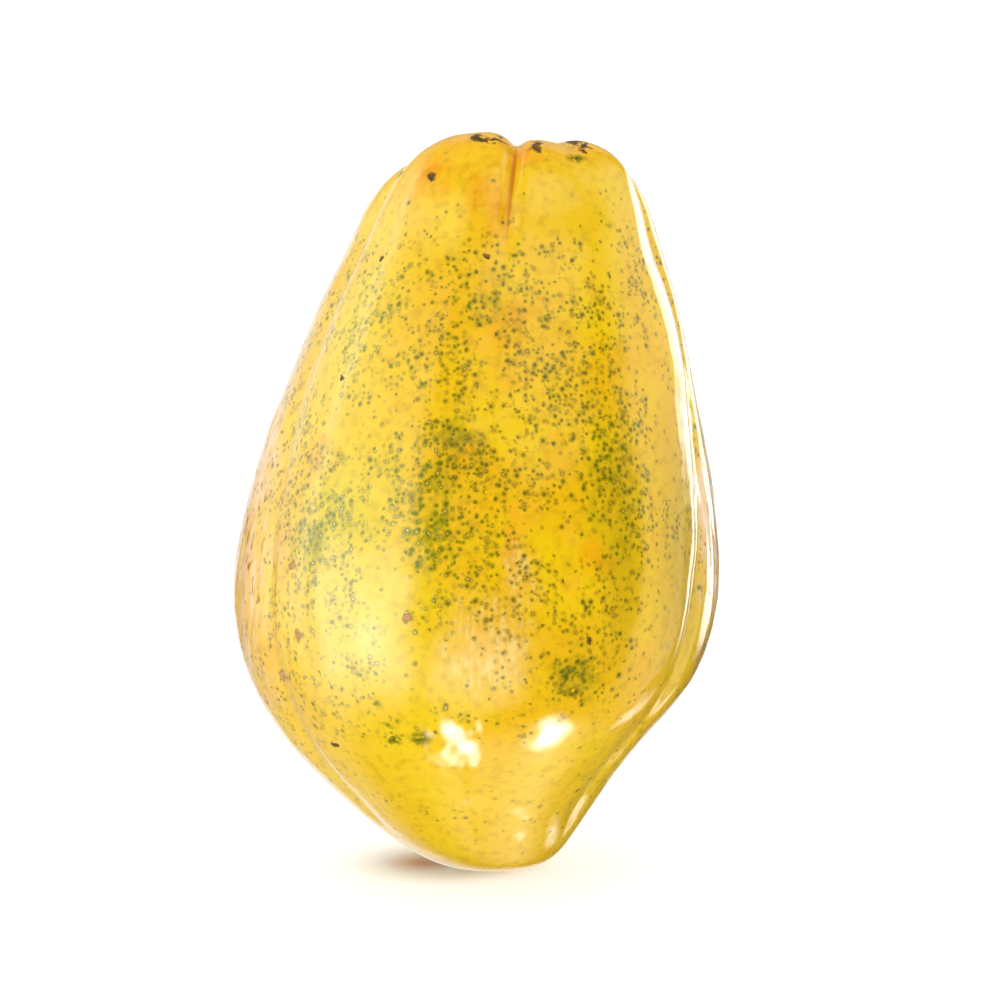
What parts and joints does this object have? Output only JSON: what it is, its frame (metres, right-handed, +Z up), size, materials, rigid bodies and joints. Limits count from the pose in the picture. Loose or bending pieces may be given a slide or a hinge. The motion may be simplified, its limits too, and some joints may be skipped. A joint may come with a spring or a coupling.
{
  "type": "papaya",
  "caption": "Whole ripe papaya with shallow lobes, deep folds round the hollow at its stem end, and a small flat spot at its blossom end to stand on.",
  "frame": {"origin": "middle of the fruit's bounding box, at the height of the flat spot that it stands on", "axes": "+Z up from the blossom end to the stem end, along the fruit's length, and -Y towards the front"},
  "size_m": [0.1212, 0.1204, 0.183],
  "materials": {
    "skin": "waxy ripe fruit skin, golden yellow with green dots and specks"
  },
  "bodies": {
    "root": {"papaya": "skin"}
  },
  "joints": []
}
